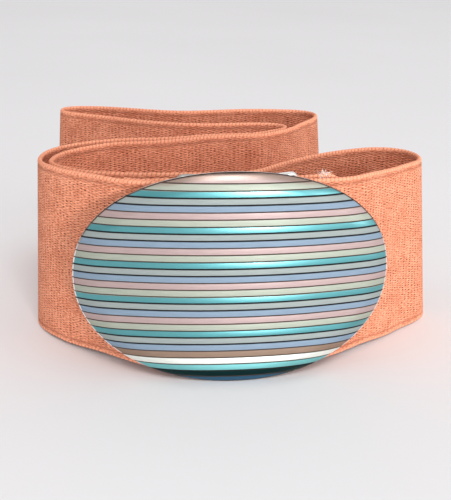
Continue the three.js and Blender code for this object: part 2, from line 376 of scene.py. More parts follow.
@dataclass(frozen=True)
class BuckleLayout:
    """Places behind the plate that follow from the sizes of its parts."""

    plate: PlateForm = PlateForm()
    wires: WireForm = WireForm()
    band: BandForm = BandForm()

    @property
    def fixed_bar_depth(self) -> float:
        """Depth of the bar that holds the band's left end."""
        stack = self.plate.rim_depth + 2.0 * self.wires.fit + self.band.thick
        return self.plate.bow_at(self.wires.fixed_bar_at) + stack + self.wires.wire / 2.0

    @property
    def hook_left(self) -> float:
        """Place of the hook's shank, just right of the hooked bar."""
        return self.wires.hooked_bar_at + self.wires.wire / 2.0 + self.wires.fit

    @property
    def hook_right(self) -> float:
        """Right side of the hook's shank."""
        return self.hook_left + self.wires.hook_thick

    @property
    def pad_left(self) -> float:
        """Left side of the pad, under the fixed loop's inner bar."""
        return self.wires.fixed_bar_at + self.wires.fixed_span - self.wires.wire / 2.0

    @property
    def pad_front(self) -> float:
        """Depth of the pad's front, which the bowed plate just clears."""
        fall = self.plate.bow_at(max(-self.pad_left, self.hook_right))
        return self.plate.thick + self.wires.fit + fall

    @property
    def pad_back(self) -> float:
        """Depth of the pad's back."""
        return self.pad_front + self.wires.pad_thick

    @property
    def hooked_bar_depth(self) -> float:
        """Depth of the end loop's bar that the hook holds."""
        return self.pad_back + self.wires.fit + self.wires.wire / 2.0

    @property
    def loop_opening(self) -> float:
        """Clear height inside a wire loop."""
        return self.band.width + 2.0 * self.wires.band_room


# The band's route


@dataclass(frozen=True)
class Run:
    """One place on the band's top edge.

    Attributes:
        name: What the band does there.
        x: Share of the folded length from the belt's middle, to the right.
        y: Share of the folded depth, to the back.
        heading: Travel direction in degrees, 0 to the right, 90 to the back.
        flare: How far the bottom edge stands to the left of travel, share of width.
        lift: Share of the nearer bar's height that the band keeps.
    """

    name: str
    x: float
    y: float
    heading: float
    flare: float = 0.0
    lift: float = 0.0


ROUTE = (
    Run("front_left_inner", -0.258, 0.085, 147, 0.01, 0.75),
    Run("front_left_outer", -0.375, 0.173, 138, 0.015, 0.45),
    Run("left_front_bend", -0.437, 0.311, 92, 0.045),
    Run("outer_return_start", -0.379, 0.450, 40, 0.02),
    Run("outer_return", -0.225, 0.535, 9),
    Run("outer_return_crossing", -0.075, 0.592, 27),
    Run("outer_return_shoulder", 0.046, 0.632, 17),
    Run("outer_return_end", 0.102, 0.668, 45),
    Run("hairpin", 0.155, 0.743, 90),
    Run("middle_start", 0.108, 0.778, 178),
    Run("middle_hollow", -0.100, 0.743, 180),
    Run("middle_slope", -0.317, 0.803, 157),
    Run("middle_end", -0.417, 0.845, 160, 0.02),
    Run("left_back_bend", -0.485, 0.909, 90, 0.06),
    Run("back_start", -0.392, 0.960, 1, 0.02),
    Run("back_dip", -0.158, 0.924, 0),
    Run("back_rise", 0.067, 0.984, 8, 0.03),
    Run("back_end", 0.183, 0.990, 0, 0.04),
    Run("right_back_bend", 0.252, 0.926, 268, 0.1),
    Run("inner_return_start", 0.189, 0.761, 246, 0.02),
    Run("inner_return_slope", 0.112, 0.650, 224),
    Run("inner_return_shoulder", 0.017, 0.606, 192),
    Run("inner_return_crossing", -0.100, 0.552, 209),
    Run("inner_return", -0.208, 0.498, 194),
    Run("inner_return_end", -0.325, 0.443, 222),
    Run("left_inner_bend", -0.408, 0.288, 268, -0.03),
    Run("second_start", -0.342, 0.197, 330),
    Run("second_layer", -0.225, 0.171, 0),
    Run("second_end", -0.033, 0.190, 2),
    Run("right_loop_start", 0.079, 0.243, 50),
    Run("right_loop_slope", 0.200, 0.388, 41, 0.02),
    Run("right_loop_shoulder", 0.333, 0.485, 25, 0.03),
    Run("right_loop_top", 0.404, 0.497, 350, 0.05),
    Run("right_front_bend", 0.464, 0.414, 270, 0.1112),
    Run("front_right_outer", 0.400, 0.290, 229, 0.05, 0.25),
    Run("front_right_inner", 0.296, 0.162, 224, 0.02, 0.7),
)


@dataclass(frozen=True)
class Station:
    """A place on the route.

    Attributes:
        place: Where it is in plan.
        direction: Travel direction there.
        hold: Offset of the bottom edge in x and y, and the band's lift.
    """

    place: Array
    direction: Array
    hold: Array

    def turn_to(self, other: "Station") -> float:
        """Give the angle in degrees between two stations' directions."""
        along = float(np.clip(self.direction @ other.direction, -1.0, 1.0))
        return math.degrees(math.acos(along))


@dataclass
class BandRoute:
    """Route of the band's middle, sampled at an even spacing along its top edge.

    Attributes:
        layout: Sizes of plate, wires and band.
        shift: Plan shift from the route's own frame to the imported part's.
    """

    layout: BuckleLayout
    shift: Array = field(default_factory=lambda: np.zeros(2))
    coarse_step: float = 6.0
    coarse_turn: float = 10.0
    turn_per_reach: float = 1500.0
    fine_samples: int = 60

    def handles(self, start: Station, end: Station, slack: float = 1.0) -> Array:
        """Give the four control points of a cubic stretch.

        The middle two stand a third of the straight distance from the ends,
        and further with the angle turned.

        Args:
            start: Where the stretch begins.
            end: Where it ends.
            slack: Factor on that reach.

        Returns:
            Four plan places, one row each.
        """
        length = float(np.linalg.norm(end.place - start.place))
        reach = length * slack * (1.0 / 3.0 + start.turn_to(end) / self.turn_per_reach)
        first, last = start.place + start.direction * reach, end.place - end.direction * reach
        return np.array([start.place, first, last, end.place])

    def stretch(self, start: Station, end: Station, shares: Array, slack: float = 1.0) -> Array:
        """Sample one stretch of the route, with offset and lift eased along it.

        Args:
            start: Where the stretch begins.
            end: Where it ends.
            shares: Curve parameters from 0 to 1.
            slack: Factor on the curve's handles.

        Returns:
            Rows of x, y, offset x, offset y and lift.
        """
        t = shares[:, None]
        eased = smoothstep(t)
        holds = start.hold * (1.0 - eased) + end.hold * eased
        return np.hstack([curve_at(self.handles(start, end, slack), t), holds])

    def bar_station(self, across: float, depth: float, drop: float) -> Station:
        """Find where an upright bar of the leaning buckle crosses the top edge.

        Args:
            across: The bar's place in the buckle's frame, to the right.
            depth: Its place to the back.
            drop: How far its loop hangs below the buckle's middle.

        Returns:
            The station on the bar.
        """
        plate, width = self.layout.plate, self.layout.band.width
        lean = math.radians(plate.lean)
        middle = plate.middle_height - depth * math.sin(lean) - drop * math.cos(lean)
        rise = width / 2.0 / math.cos(lean) - drop
        back = depth * math.cos(lean) + rise * math.sin(lean)
        to_right = unit(plate.turn)
        to_back = left_of(to_right)
        place = np.array([plate.offset, -plate.forward]) + to_right * across + to_back * back
        offset = -to_back * width * math.tan(lean)
        return Station(place, to_right, np.append(offset, middle - width / 2.0))

    def end_fold(self, row: Station, bar: Station, front_side: float, rise: float) -> Array:
        """Sample a folded-back band end in the order row, bar, tail.

        The end passes in front of the bar, turns round it on a half circle and
        lies back against itself over the tail's length.

        Args:
            row: The route's last station before the bar, headed to the bar.
            bar: The station on the bar.
            front_side: 1 if the front lies to the left seen from the bar, else -1.
            rise: How far the tail rises towards its end.

        Returns:
            Rows of x, y, offset x, offset y and lift.
        """
        wires, band = self.layout.wires, self.layout.band
        away = unit_rows(row.place - bar.place)
        front = left_of(away) * front_side
        radius = wires.wire / 2.0 + wires.fit + band.thick / 2.0
        passing = Station(bar.place + front * radius, -away, bar.hold)
        leaving = Station(bar.place - front * radius, away, bar.hold)
        angles = np.linspace(0.0, math.pi, self.fine_samples)[1:-1, None]
        around = bar.place + radius * (front * np.cos(angles) - away * np.sin(angles))
        wrap = np.hstack([around, np.tile(bar.hold, (len(around), 1))])
        fine = np.linspace(0.0, 1.0, self.fine_samples)
        end = self.tail_end(row, passing, front_side, rise)
        tail = self.stretch(leaving, end, fine, band.tail_slack)
        return np.vstack([self.stretch(row, passing, fine), wrap, tail])

    def tail_end(
        self, row: Station, passing: Station, front_side: float, rise: float
    ) -> Station:
        """Find where a folded end stops, just behind its own approach.

        Args:
            row: The station that the approach comes from.
            passing: The station where it reaches the bar.
            front_side: 1 or -1, as for the fold.
            rise: How far the end stands above its approach.

        Returns:
            The tail's last station, headed away from the bar.
        """
        band = self.layout.band
        length = float(np.linalg.norm(passing.place - row.place))
        by_turn = math.ceil(row.turn_to(passing) / self.coarse_turn)
        steps = max(2, math.ceil(length / self.coarse_step), by_turn)
        shares = np.arange(steps + 1) / steps
        coarse = self.stretch(row, passing, shares)
        far = np.linalg.norm(coarse[:, :2] - passing.place, axis=1) >= band.end_tail
        index = int(np.flatnonzero(far)[-1])
        slopes = np.diff(self.handles(row, passing), axis=0)
        direction = unit_rows(curve_at(slopes, shares[index]))[0]
        inward = left_of(direction) * front_side
        place = coarse[index, :2] + inward * (band.thick + self.layout.wires.fit)
        return Station(place, -direction, coarse[index, 2:] + [0.0, 0.0, rise])

    def whole(self) -> Array:
        """Sample the route finely from the fixed end to the hooked end.

        Returns:
            Rows of x, y, offset x, offset y and lift.
        """
        layout, wires = self.layout, self.layout.wires
        swing = unit(wires.hooked_turn) * wires.hooked_span
        fixed = self.bar_station(wires.fixed_bar_at, layout.fixed_bar_depth, wires.fixed_drop)
        hooked = self.bar_station(
            wires.hooked_bar_at + swing[0], layout.hooked_bar_depth + swing[1], 0.0
        )
        half = len(ROUTE) / 2
        stations = [
            self.run_station(run, fixed if index < half else hooked)
            for index, run in enumerate(ROUTE)
        ]
        fine = np.linspace(0.0, 1.0, self.fine_samples)[1:]
        first, last = stations[0], stations[-1]
        outward = Station(first.place, -first.direction, first.hold)
        start = self.end_fold(outward, fixed, 1.0, 0.0)
        middle = [self.stretch(here, there, fine) for here, there in zip(stations, stations[1:])]
        end = self.end_fold(last, hooked, -1.0, layout.band.hooked_tail_rise)
        return np.vstack([start[::-1], *middle, end[1:]])

    def run_station(self, run: Run, bar: Station) -> Station:
        """Turn a row of the table into a station.

        Args:
            run: The row.
            bar: The nearer bar, whose lift the band partly keeps.

        Returns:
            The station.
        """
        band = self.layout.band
        direction = unit(run.heading)
        place = np.array([run.x * band.fold_length, run.y * band.fold_depth])
        offset = left_of(direction) * run.flare * band.width
        return Station(place, direction, np.append(offset, run.lift * bar.hold[2]))

    def sampled(self, spacing: float) -> "BandPath":
        """Resample the route at an even spacing along the top edge.

        Args:
            spacing: Distance between samples in millimetres.

        Returns:
            The path with its lengths, offsets and lifts.
        """
        band, rows = self.layout.band, self.whole()
        run = run_lengths(rows[:, :2])
        along = np.linspace(0.0, run[-1], int(round(run[-1] / spacing)) + 1)
        even = np.stack([np.interp(along, run, column) for column in rows.T], axis=1)
        droop = smoothstep(1.0 - (run[-1] - along) / band.droop_length)
        lifts = even[:, 4] - band.tail_droop * droop
        return BandPath(along, even[:, :2] + self.shift, even[:, 2:4], lifts, band)


@dataclass
class BandPath:
    """Evenly sampled route with the formulas of the slat that stands on it."""

    along: Array
    tops: Array
    offsets: Array
    lifts: Array
    band: BandForm

    def points(self, sides: Array, heights: Array) -> Array:
        """Place a section on every sample.

        A point lies between the bottom edge and the top edge by its height's
        share of the width, and stands off by its side along the normal there.

        Args:
            sides: Distances to the left of travel, one per section point, or a
                row of them for each sample.
            heights: Heights above the band's lower edge, in the same shape.

        Returns:
            Points in the shape sample, section point, coordinate.
        """
        shape = (len(self.tops), np.shape(sides)[-1])
        side, height = np.broadcast_to(sides, shape), np.broadcast_to(heights, shape)
        share = (height / self.band.width)[..., None]
        bottoms = self.tops + self.offsets
        low, high = normals_along(bottoms)[:, None], normals_along(self.tops)[:, None]
        plan = bottoms[:, None] * (1.0 - share) + self.tops[:, None] * share
        plan = plan + (low * (1.0 - share) + high * share) * side[..., None]
        level = self.lifts[:, None] + height
        return np.concatenate([plan, level[..., None]], axis=-1)


# Shader helpers


class Wiring:
    """Adds nodes to one tree and links them."""

    def __init__(self, tree: Tree) -> None:
        """Start wiring a node tree."""
        self.tree = tree

    def add(self, kind: str, inputs: dict | None = None, **settings: object) -> Node:
        """Add a node, set its options and feed its inputs.

        Args:
            kind: The node's type name.
            inputs: A socket or a plain value for each named or numbered input.
            **settings: The node's own options.

        Returns:
            The new node.
        """
        node = self.tree.nodes.new(kind)
        for name, value in settings.items():
            setattr(node, name, value)
        self.feed(node.inputs, inputs or {})
        return node

    def feed(self, sockets: Sockets, values: dict) -> None:
        """Link each named or numbered socket, or set its plain value.

        Args:
            sockets: A node's inputs.
            values: A socket or a plain value for each of them.
        """
        for name, value in values.items():
            if isinstance(value, Socket):
                self.tree.links.new(value, sockets[name])
            else:
                sockets[name].default_value = value

    def math(self, operation: str, *values: object, clamp: bool = False) -> Socket:
        """Add a Math node and give its result."""
        settings = {"operation": operation, "use_clamp": clamp}
        return self.add("ShaderNodeMath", dict(enumerate(values)), **settings).outputs[0]

    def times(self, first: object, second: object) -> Socket:
        """Multiply two values."""
        return self.math("MULTIPLY", first, second)

    def less(self, first: object, second: object) -> Socket:
        """Take one value from another."""
        return self.math("SUBTRACT", first, second)

    def fit(self, value: object, gain: float, start: object) -> Socket:
        """Multiply a value and add to it."""
        return self.math("MULTIPLY_ADD", value, gain, start)

    def ease(self, value: object, low: float, high: float) -> Socket:
        """Ease a value to 0 at one bound and to 1 at the other."""
        inputs = {"Value": value, "From Min": low, "From Max": high}
        node = self.add("ShaderNodeMapRange", inputs, interpolation_type="SMOOTHSTEP")
        return node.outputs["Result"]

    def blend(self, factor: object, first: object, second: object) -> Socket:
        """Mix two colours by a factor."""
        inputs = {"Factor": factor, 6: first, 7: second}
        return self.add("ShaderNodeMix", inputs, data_type="RGBA").outputs[2]

    def noise(self, vector: Socket, scale: float, detail: float = 2.0) -> Socket:
        """Add a Noise Texture and give its value."""
        inputs = {"Vector": vector, "Scale": scale, "Detail": detail}
        return self.add("ShaderNodeTexNoise", inputs).outputs["Fac"]

    def place(self, along: Socket, up: Socket) -> Socket:
        """Join two lengths to one place."""
        return self.add("ShaderNodeCombineXYZ", {"X": along, "Y": up}).outputs["Vector"]

    def bump(self, height: Socket, strength: float, distance: float) -> Socket:
        """Turn a height into a normal, with the distance in millimetres."""
        inputs = {"Height": height, "Strength": strength, "Distance": distance * MM}
        return self.add("ShaderNodeBump", inputs).outputs["Normal"]

    def lengths(self) -> tuple[Socket, Socket]:
        """Give the piece's own length along and across, in millimetres."""
        source = self.add("ShaderNodeUVMap", uv_map=LENGTHS).outputs["UV"]
        parts = self.add("ShaderNodeSeparateXYZ", {"Vector": source}).outputs
        return parts["X"], parts["Y"]

    def trait(self, name: str) -> Socket:
        """Give a named value of the mesh."""
        return self.add("ShaderNodeAttribute", attribute_name=name).outputs["Fac"]

    def group(self, tree: Tree, **inputs: object) -> Sockets:
        """Place a node group over the piece's lengths and give its outputs."""
        along, up = self.lengths()
        values = {"Along": along, "Up": up, **inputs}
        return self.add("ShaderNodeGroup", values, node_tree=tree).outputs


def new_group(
    name: str, inputs: tuple[str, ...], outputs: tuple[str, ...]
) -> tuple[Wiring, Sockets, Sockets]:
    """Make a shader node group whose sockets are all single values.

    Args:
        name: The group's name.
        inputs: Names of its inputs.
        outputs: Names of its outputs.

    Returns:
        Its wiring, and the sockets where its inputs and its results stand.
    """
    tree = bpy.data.node_groups.new(name, "ShaderNodeTree")
    for way, titles in (("INPUT", inputs), ("OUTPUT", outputs)):
        for title in titles:
            tree.interface.new_socket(title, in_out=way, socket_type="NodeSocketFloat")
    wiring = Wiring(tree)
    return wiring, wiring.add("NodeGroupInput").outputs, wiring.add("NodeGroupOutput").inputs


@dataclass(frozen=True)
class KnitPattern:
    """Small pits between the ribs of a knitted elastic."""

    drift_scale: float = 0.16
    wander: float = 1.6
    pit_width: float = 0.3
    pit_height: float = 0.26
    pit_floor: float = 0.05
    single_depth: Span = (0.65, 0.3)
    lane_depth: float = 0.16
    unevenness: float = 3.0
    worn_scale: float = 0.09
    worn_span: Span = (0.35, 0.68)
    lasting: Span = (0.3, 0.75)
    rib_relief: float = -0.2
    yarn_relief: float = 0.7
    yarn_squeeze: Span = (0.7, 1.6)
    yarn_scale: float = 1.5
    blotch: Span = (0.22, 3.0)
    blotch_share: float = 0.3

    def group(self) -> Tree:
        """Make the pattern's node group.

        A pit is an ellipse round the nearest corner of a staggered lattice: 1
        less the eased sum of squares of the two distances. Its depth is a
        random value for that corner plus one for its column. The ribs are a
        cosine across the rows, and a slow drift makes the rows wander.

        Returns:
            A group from lengths and pitches to height, pits and unevenness.
        """
        wiring, source, target = new_group(
            "knitted_pits",
            ("Along", "Up", "Row Pitch", "Column Pitch"),
            ("Height", "Pits", "Uneven"),
        )
        along, up = source["Along"], source["Up"]
        place = wiring.place(along, up)
        drift = wiring.less(wiring.noise(place, self.drift_scale), 0.5)
        drifted = wiring.math("ADD", along, drift)
        column = wiring.math("DIVIDE", drifted, source["Column Pitch"])
        nearest_column = wiring.math("ROUND", column)
        stagger = wiring.times(wiring.math("FLOORED_MODULO", nearest_column, 2.0), 0.5)
        row = wiring.math("DIVIDE", wiring.fit(drift, self.wander, up), source["Row Pitch"])
        staggered = wiring.math("ADD", row, stagger)
        nearest_row = wiring.math("ROUND", staggered)
        squares = []
        for at, nearest, reach in (
            (column, nearest_column, self.pit_width),
            (staggered, nearest_row, self.pit_height),
        ):
            share = wiring.math("DIVIDE", wiring.less(at, nearest), reach)
            squares.append(wiring.times(share, share))
        hole = wiring.less(1.0, wiring.ease(wiring.math("ADD", *squares), self.pit_floor, 1.0))
        cell = {"Vector": wiring.place(nearest_column, nearest_row)}
        random = []
        for kind, inputs in (("2D", cell), ("1D", {"W": nearest_column})):
            node = wiring.add("ShaderNodeTexWhiteNoise", inputs, noise_dimensions=kind)
            random.append(wiring.math("POWER", node.outputs["Value"], self.unevenness))
        single, lane = random
        depth = wiring.fit(lane, self.lane_depth, wiring.fit(single, *self.single_depth))
        worn = wiring.ease(wiring.noise(place, self.worn_scale), *self.worn_span)
        lasting = wiring.fit(worn, *self.lasting)
        pits = wiring.math("MULTIPLY", wiring.times(hole, depth), lasting, clamp=True)
        rib = wiring.math("COSINE", wiring.times(staggered, FULL_TURN))
        squeezed = (wiring.times(*pair) for pair in zip((along, up), self.yarn_squeeze))
        yarn = wiring.noise(wiring.place(*squeezed), self.yarn_scale)
        raised = wiring.times(yarn, self.yarn_relief)
        blotch = wiring.noise(place, *self.blotch)
        wiring.feed(target, {
            "Height": wiring.less(wiring.fit(rib, self.rib_relief, raised), pits),
            "Pits": pits,
            "Uneven": wiring.fit(blotch, self.blotch_share, raised),
        })
        return wiring.tree


@dataclass(frozen=True)
class Brushing:
    """Fine streaks along one length, with broader smudges over them."""

    stretch: float = 0.035
    streaks: Span = (7.0, 3.0)
    smudges: Span = (0.11, 4.0)

    def group(self) -> Tree:
        """Make the node group.

        Returns:
            A group from lengths to streaks and smudges.
        """
        wiring, source, target = new_group(
            "brushed_metal", ("Along", "Up"), ("Streaks", "Smudges")
        )
        along, up = source["Along"], source["Up"]
        lines = wiring.place(wiring.times(along, self.stretch), up)
        wiring.feed(target, {
            "Streaks": wiring.noise(lines, *self.streaks),
            "Smudges": wiring.noise(wiring.place(along, up), *self.smudges),
        })
        return wiring.tree


def new_material(name: str) -> tuple[Material, Wiring, Sockets]:
    """Make a node material that holds one Principled shader.

    Args:
        name: The material's name.

    Returns:
        The material, its wiring and its Principled node's inputs.
    """
    material = bpy.data.materials.new(name)
    material.use_nodes = True
    tree = material.node_tree
    return material, Wiring(tree), tree.nodes["Principled BSDF"].inputs


# Finishes


@dataclass(frozen=True)
class ElasticFinish:
    """Peach elastic, knitted in fine rows with small pits between them, darkened by painted shade.
    """

    yarn: Colour = (0.67, 0.218, 0.115, 1.0)
    pale: Colour = (0.94, 0.395, 0.24, 1.0)
    # pit: near-black colour of painted shade. It is used in the knit's pits and rib hollows, along
    # the seam groove and between the selvage's loops.
    pit: Colour = (0.13, 0.022, 0.01, 1.0)
    bleached: Colour = (0.98, 0.94, 0.88, 1.0)
    row_pitch: float = 0.725
    column_pitch: float = 1.3
    mottle_span: Span = (0.38, 0.62)
    rib_span: Span = (0.0, 0.6)
    rib_light: Span = (0.3, 0.76)
    pit_span: Span = (0.03, 0.72)
    width: float = 50.0
    border_span: Span = (1.95, 3.2)
    seam_at: float = 1.75
    seam_span: Span = (0.1, 0.6)
    seam_shade_weight: float = 0.34
    speckle: Span = (1.3, 3.0)
    speckle_span: Span = (0.2, 0.55)
    hollow_span: Span = (0.15, 0.85)
    hollow_shade_weight: float = 0.6
    fibre_scale: float = 6.0
    thread_scale: float = 2.5
    thread_span: Span = (0.3, 0.7)
    relief: Span = (0.7, 0.4)
    fibre_relief: Span = (0.4, 0.1)
    sheen: float = 0.15

    @property
    def cloth(self) -> dict[str, object]:
        """Constant shader values that every thread shares."""
        return {
            "Roughness": 0.85,
            "Specular IOR Level": 0.2,
            "Sheen Weight": self.sheen,
            "Sheen Roughness": 0.5,
            "Sheen Tint": self.pale,
        }

    def webbing(self, weave: Tree) -> Material:
        """Make the finish of the band's two faces.

        Args:
            weave: The group of pits and ribs.

        Returns:
            The material.
        """
        material, wiring, shader = new_material("elastic_webbing")
        pitches = {"Row Pitch": self.row_pitch, "Column Pitch": self.column_pitch}
        knit = wiring.group(weave, **pitches)
        up = wiring.lengths()[1]
        tone = wiring.blend(wiring.ease(knit["Uneven"], *self.mottle_span), self.yarn, self.pale)
        # The rib's low parts, the seam groove and the pits are mixed towards the pit colour as
        # painted shade in the knit's recesses.
        light = wiring.fit(wiring.ease(knit["Height"], *self.rib_span), *self.rib_light)
        shaded = wiring.blend(light, self.pit, tone)
        inwards = wiring.math("MINIMUM", up, wiring.less(self.width, up))
        from_seam = wiring.math("ABSOLUTE", wiring.less(inwards, self.seam_at))
        seam = wiring.less(1.0, wiring.ease(from_seam, *self.seam_span))
        edged = wiring.blend(wiring.times(seam, self.seam_shade_weight), shaded, self.pit)
        border = wiring.ease(inwards, *self.border_span)
        pits = wiring.times(wiring.ease(knit["Pits"], *self.pit_span), border)
        wiring.feed(shader, {
            "Base Color": wiring.blend(pits, edged, self.pit),
            "Normal": wiring.bump(knit["Height"], *self.relief),
            **self.cloth,
        })
        return material

    def selvage(self) -> Material:
        """Make the finish of the whipped edges, with painted shade between their loops.

        Returns:
            The material.
        """
        material, wiring, shader = new_material("selvage_thread")
        place = wiring.place(*wiring.lengths())
        speckle = wiring.ease(wiring.noise(place, *self.speckle), *self.speckle_span)
        # The hollows between the loops are mixed towards the pit colour as painted shade.
        hollow = wiring.ease(wiring.trait("hollow"), *self.hollow_span)
        tone = wiring.blend(speckle, self.yarn, self.pale)
        wiring.feed(shader, {
            "Base Color": wiring.blend(wiring.times(hollow, self.hollow_shade_weight), tone, self.pit),
            "Normal": wiring.bump(wiring.noise(place, self.fibre_scale), *self.fibre_relief),
            **self.cloth,
        })
        return material

    def loose_thread(self, name: str, share_of_white: float) -> Material:
        """Make the finish of single threads.

        Args:
            name: The material's name.
            share_of_white: How far the yarn is bleached.

        Returns:
            The material.
        """
        material, wiring, shader = new_material(name)
        place = wiring.place(*wiring.lengths())
        speckle = wiring.ease(wiring.noise(place, self.thread_scale), *self.thread_span)
        tone = wiring.blend(speckle, self.yarn, self.pale)
        colour = wiring.blend(share_of_white, tone, self.bleached)
        wiring.feed(shader, {"Base Color": colour, **self.cloth})
        return material


@dataclass(frozen=True)
class Stripe:
    """One stripe's colour and gloss.

    Attributes:
        name: Its plain colour name.
        colour: Its anodised colour; on the top stripe and the five lowest stripes it also holds
            painted shade or a painted reflection.
        roughness: How satin its metal is.
        coat: Weight of the clear gloss over it.
        metal: How far it mirrors like bare metal.
    """

    name: str
    colour: Triple
    roughness: float
    coat: float
    metal: float


# The top stripe is rose darkened with painted shade, because its rolled rim mirrors a darker room.
ROSE_SHADED_TOP = Stripe("rose with painted shade", (0.52, 0.40, 0.38), 0.3, 0.0, 0.6)
ROSE = Stripe("rose", (0.45, 0.335, 0.325), 0.55, 0.1, 0.62)
CREAM = Stripe("cream", (0.39, 0.42, 0.35), 0.56, 0.05, 0.6)
TEAL = Stripe("teal", (0.014, 0.29, 0.32), 0.36, 1.0, 0.85)
SILVER = Stripe("silver", (0.305, 0.345, 0.335), 0.6, 0.0, 0.42)
BLUE = Stripe("blue", (0.225, 0.305, 0.395), 0.6, 0.0, 0.42)
# The five lowest stripes are the usual colours with painted reflections from the rolled lower rim.
# Tan is rose with a painted brown reflection. The cream and teal copies are lit paler by a painted
# reflection of the bright floor. The silver and blue copies are darkened nearly to black by
# painted shade from the gap under the rim.
ROSE_SHADED_LOW = Stripe("tan", (0.27, 0.18, 0.13), 0.56, 0.0, 0.5)
CREAM_LIT_LOW = Stripe("cream with painted reflection", (0.80, 0.83, 0.77), 0.42, 0.1, 0.6)
TEAL_LIT_LOW = Stripe("teal with painted reflection", (0.175, 0.48, 0.49), 0.52, 0.0, 0.6)
SILVER_SHADED_LOW = Stripe("silver with painted shade", (0.008, 0.035, 0.036), 0.4, 0.0, 1.0)
BLUE_SHADED_LOW = Stripe("blue with painted shade", (0.055, 0.17, 0.275), 0.45, 0.0, 1.0)
WIDE_GROOVED = (SILVER, BLUE, SILVER_SHADED_LOW)
# The last group holds the five lowest stripes with their painted reflections and painted shade.
STRIPES = (
    (ROSE_SHADED_TOP, CREAM, TEAL, SILVER, BLUE)
    + (ROSE, CREAM, TEAL, SILVER, BLUE) * 4
    + (ROSE_SHADED_LOW, CREAM_LIT_LOW, TEAL_LIT_LOW, SILVER_SHADED_LOW, BLUE_SHADED_LOW)
)


@dataclass(frozen=True)
class StripeFinish:
    """Satin anodised metal in narrow stripes between black grooves."""

    groove: Colour = (0.008, 0.008, 0.009, 1.0)
    bare: Colour = (0.92, 0.92, 0.9, 1.0)
    # Painted shade on the rim's bevel over the upper half and at the very bottom. It stands in for
    # the shadow of the gap to the band and for the dark under the rim.
    rim_painted_shade: Colour = (0.11, 0.07, 0.055, 1.0)
    # rolled: brown-grey painted reflection on the rolled rim at the top, standing for a darker
    # room mirrored there.
    rolled: Colour = (0.30, 0.215, 0.18, 1.0)
    fine_groove: Colour = (0.075, 0.05, 0.04, 1.0)
    streak_span: Span = (0.3, 0.7)
    streak_depth: float = 0.14
    bare_span: Span = (0.4, 0.6)
    cut_span: Span = (0.2, 0.55)
    rim_shade_span: Span = (0.15, 0.5)
    under_shade_span: Span = (0.8, 0.88)
    roll_shade_heights: Span = (0.84, 0.92)
    roll_shade_reach: Span = (0.925, 0.972)
    smudge_roughness: float = 0.12
    rim_polish: float = -0.15
    relief: Span = (0.12, 0.05)

    @staticmethod
    def ramp(wiring: Wiring, share: Socket, values: list[Triple]) -> Socket:
        """Look a value up by the share of stripes above.

        Args:
            wiring: The material's wiring.
            share: Count of stripes from the top as a share of all.
            values: Three numbers for each stripe.

        Returns:
            The looked-up value as a colour.
        """
        node = wiring.add("ShaderNodeValToRGB", {"Fac": share})
        ramp = node.color_ramp
        ramp.interpolation = "CONSTANT"
        while len(ramp.elements) < len(values):
            ramp.elements.new(1.0)
        for index, value in enumerate(values):
            ramp.elements[index].position = index / len(values)
            ramp.elements[index].color = (*value, 1.0)
        return node.outputs["Color"]

    def material(self, brushing: Tree) -> Material:
        """Make the plate's finish.

        The mesh tells the stripe's count from the top, how deep a point lies in
        a groove and where the bare rim and the back are.

        Args:
            brushing: The group of streaks and smudges.

        Returns:
            The material.
        """
        material, wiring, shader = new_material("anodised_stripes")
        grain = wiring.group(brushing)
        share = wiring.math("DIVIDE", wiring.trait("stripe"), float(len(STRIPES)))
        colour = self.ramp(wiring, share, [item.colour for item in STRIPES])
        looks = self.ramp(wiring, share, [(i.roughness, i.coat, i.metal) for i in STRIPES])
        gloss = wiring.add("ShaderNodeSeparateColor", {"Color": looks}).outputs
        streaks = wiring.ease(grain["Streaks"], *self.streak_span)
        brushed = wiring.blend(wiring.times(streaks, self.streak_depth), colour, self.groove)
        bare = wiring.ease(wiring.trait("bare"), *self.bare_span)
        cut = wiring.ease(wiring.trait("groove"), *self.cut_span)
        height = wiring.trait("height")
        # The bevel is painted dark over its upper half and at the bottom, as painted shade.
        # Elsewhere it stays bare bright metal.
        under = wiring.ease(wiring.times(height, -1.0), *self.under_shade_span)
        rim_shade_mask = wiring.math("MAXIMUM", wiring.ease(height, *self.rim_shade_span), under)
        rim = wiring.blend(rim_shade_mask, self.bare, self.rim_painted_shade)
        # The rolled rim at the top is mixed towards brown-grey as a painted reflection of a darker
        # room.
        reach = wiring.ease(wiring.trait("reach"), *self.roll_shade_reach)
        rolled = wiring.times(wiring.ease(height, *self.roll_shade_heights), reach)
        metal = wiring.blend(bare, wiring.blend(rolled, brushed, self.rolled), rim)
        black = wiring.blend(wiring.trait("fine"), self.groove, self.fine_groove)
        smudge = wiring.less(grain["Smudges"], 0.5)
        smudged = wiring.fit(smudge, self.smudge_roughness, gloss["Red"])
        edged = wiring.fit(bare, self.rim_polish, smudged)
        plated = wiring.math("MAXIMUM", gloss["Blue"], bare)
        uncut = wiring.less(1.0, cut)
        wiring.feed(shader, {
            "Base Color": wiring.blend(cut, metal, black),
            "Roughness": wiring.math("MAXIMUM", edged, cut),
            "Metallic": wiring.times(plated, uncut),
            "Coat Weight": wiring.times(gloss["Green"], uncut),
            "Coat Roughness": 0.3,
            "Coat IOR": 2.0,
            "Normal": wiring.bump(grain["Streaks"], *self.relief),
        })
        return material


